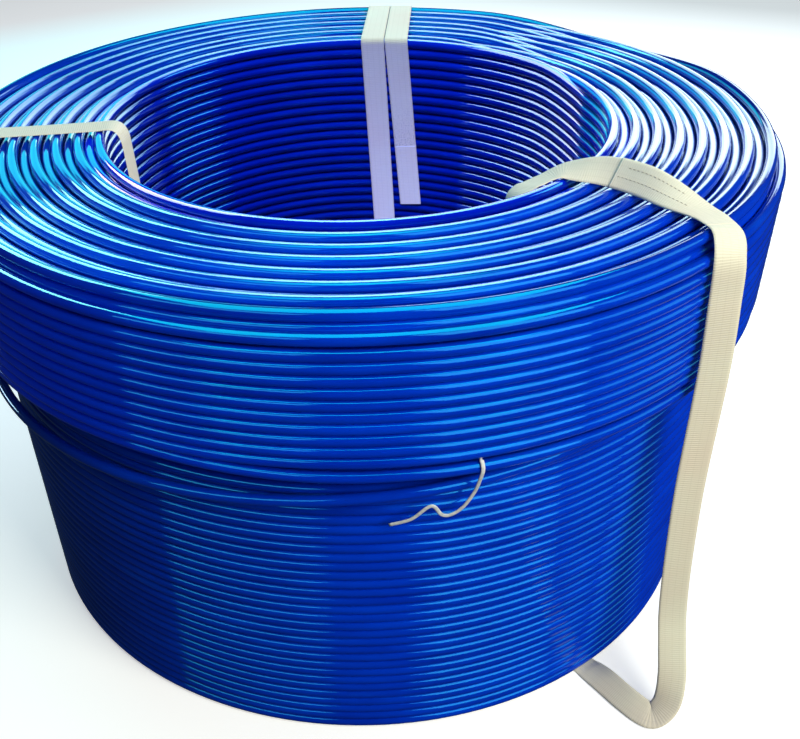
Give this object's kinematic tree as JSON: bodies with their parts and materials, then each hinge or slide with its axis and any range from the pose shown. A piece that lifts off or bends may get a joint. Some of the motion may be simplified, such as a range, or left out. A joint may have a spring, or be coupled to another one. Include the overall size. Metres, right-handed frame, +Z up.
{
  "type": "prestressing strand coil",
  "caption": "Coil of blue sheathed prestressing strand, wound in turns around an open bore, standing on its end and tied with woven straps.",
  "frame": {"origin": "on the coil's axis, at the floor under the straps", "axes": "+Z up along the coil's axis, -Y towards the side the picture is taken from, +X to its right"},
  "size_m": [1.2632, 1.2631, 0.7406],
  "materials": {
    "sheath": "glossy extruded polyethylene",
    "webbing": "woven polyester strap",
    "strip": "thin white binding strip"
  },
  "bodies": {
    "root": {"strand_coil": "sheath", "loose_turn": "sheath", "strap_left": "webbing", "strap_back": "webbing", "strap_back_tail": "webbing", "strap_right": "webbing", "tie_strip": "strip"}
  },
  "joints": []
}
